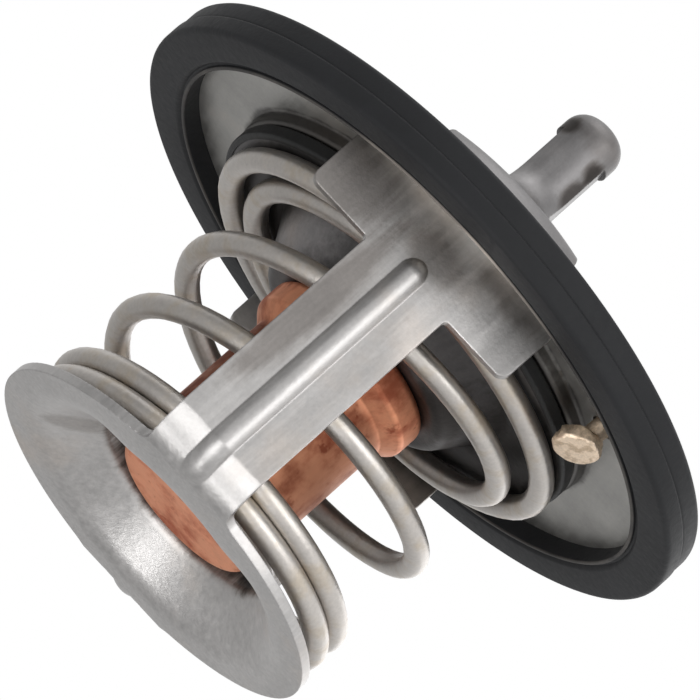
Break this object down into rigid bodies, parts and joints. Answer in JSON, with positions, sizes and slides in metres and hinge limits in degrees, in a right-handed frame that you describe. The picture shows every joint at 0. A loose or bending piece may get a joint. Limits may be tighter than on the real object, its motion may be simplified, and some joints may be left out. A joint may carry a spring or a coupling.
{
  "type": "engine thermostat",
  "caption": "Wax engine thermostat: flange with a rubber rim gasket, sprung main valve on a copper wax element, yoke with T-headed legs, hollow-stemmed bridge and jiggle pin.",
  "frame": {"origin": "centre of the bottom of the bounding box, on the axis at the lower face of the yoke's ring", "axes": "+Z along the axis, from the spring end to the tip of the bridge; the yoke's legs stand towards -Y and +Y; the jiggle pin is on the +X side near the -Y leg"},
  "size_m": [0.054, 0.054, 0.0466],
  "materials": {
    "stainless": "satin",
    "spring_steel": "satin",
    "rubber": "matte",
    "copper": "satin copper",
    "brass": "satin",
    "wax": "waxy, filled with copper powder"
  },
  "bodies": {
    "frame": {"flange_plate": "stainless", "flange_gasket": "rubber", "upper_bridge": "stainless", "lower_frame": "stainless", "piston": "stainless", "main_spring": "spring_steel"},
    "valve": {"main_valve": "stainless", "valve_seal": "rubber", "wax_cup": "copper", "wax_pellet": "wax", "diaphragm": "rubber", "rubber_plug": "rubber", "backup_disc": "stainless", "element_guide": "brass", "retaining_ring": "spring_steel", "piston_seal": "rubber", "seal_retainer": "brass"},
    "jiggle": {"jiggle_pin": "brass", "jiggle_float": "brass"}
  },
  "joints": [
    {"name": "valve_slide", "type": "slide", "parent": "frame", "child": "valve", "axis": [0, 0, -1], "range_m": [0, 0.008], "stiffness_N_per_m": 3000, "springref_m": -0.008, "deforming": ["main_spring"]},
    {"name": "jiggle_slide", "type": "slide", "parent": "frame", "child": "jiggle", "axis": [0, 0, 1], "range_m": [0, 0.0005]}
  ]
}
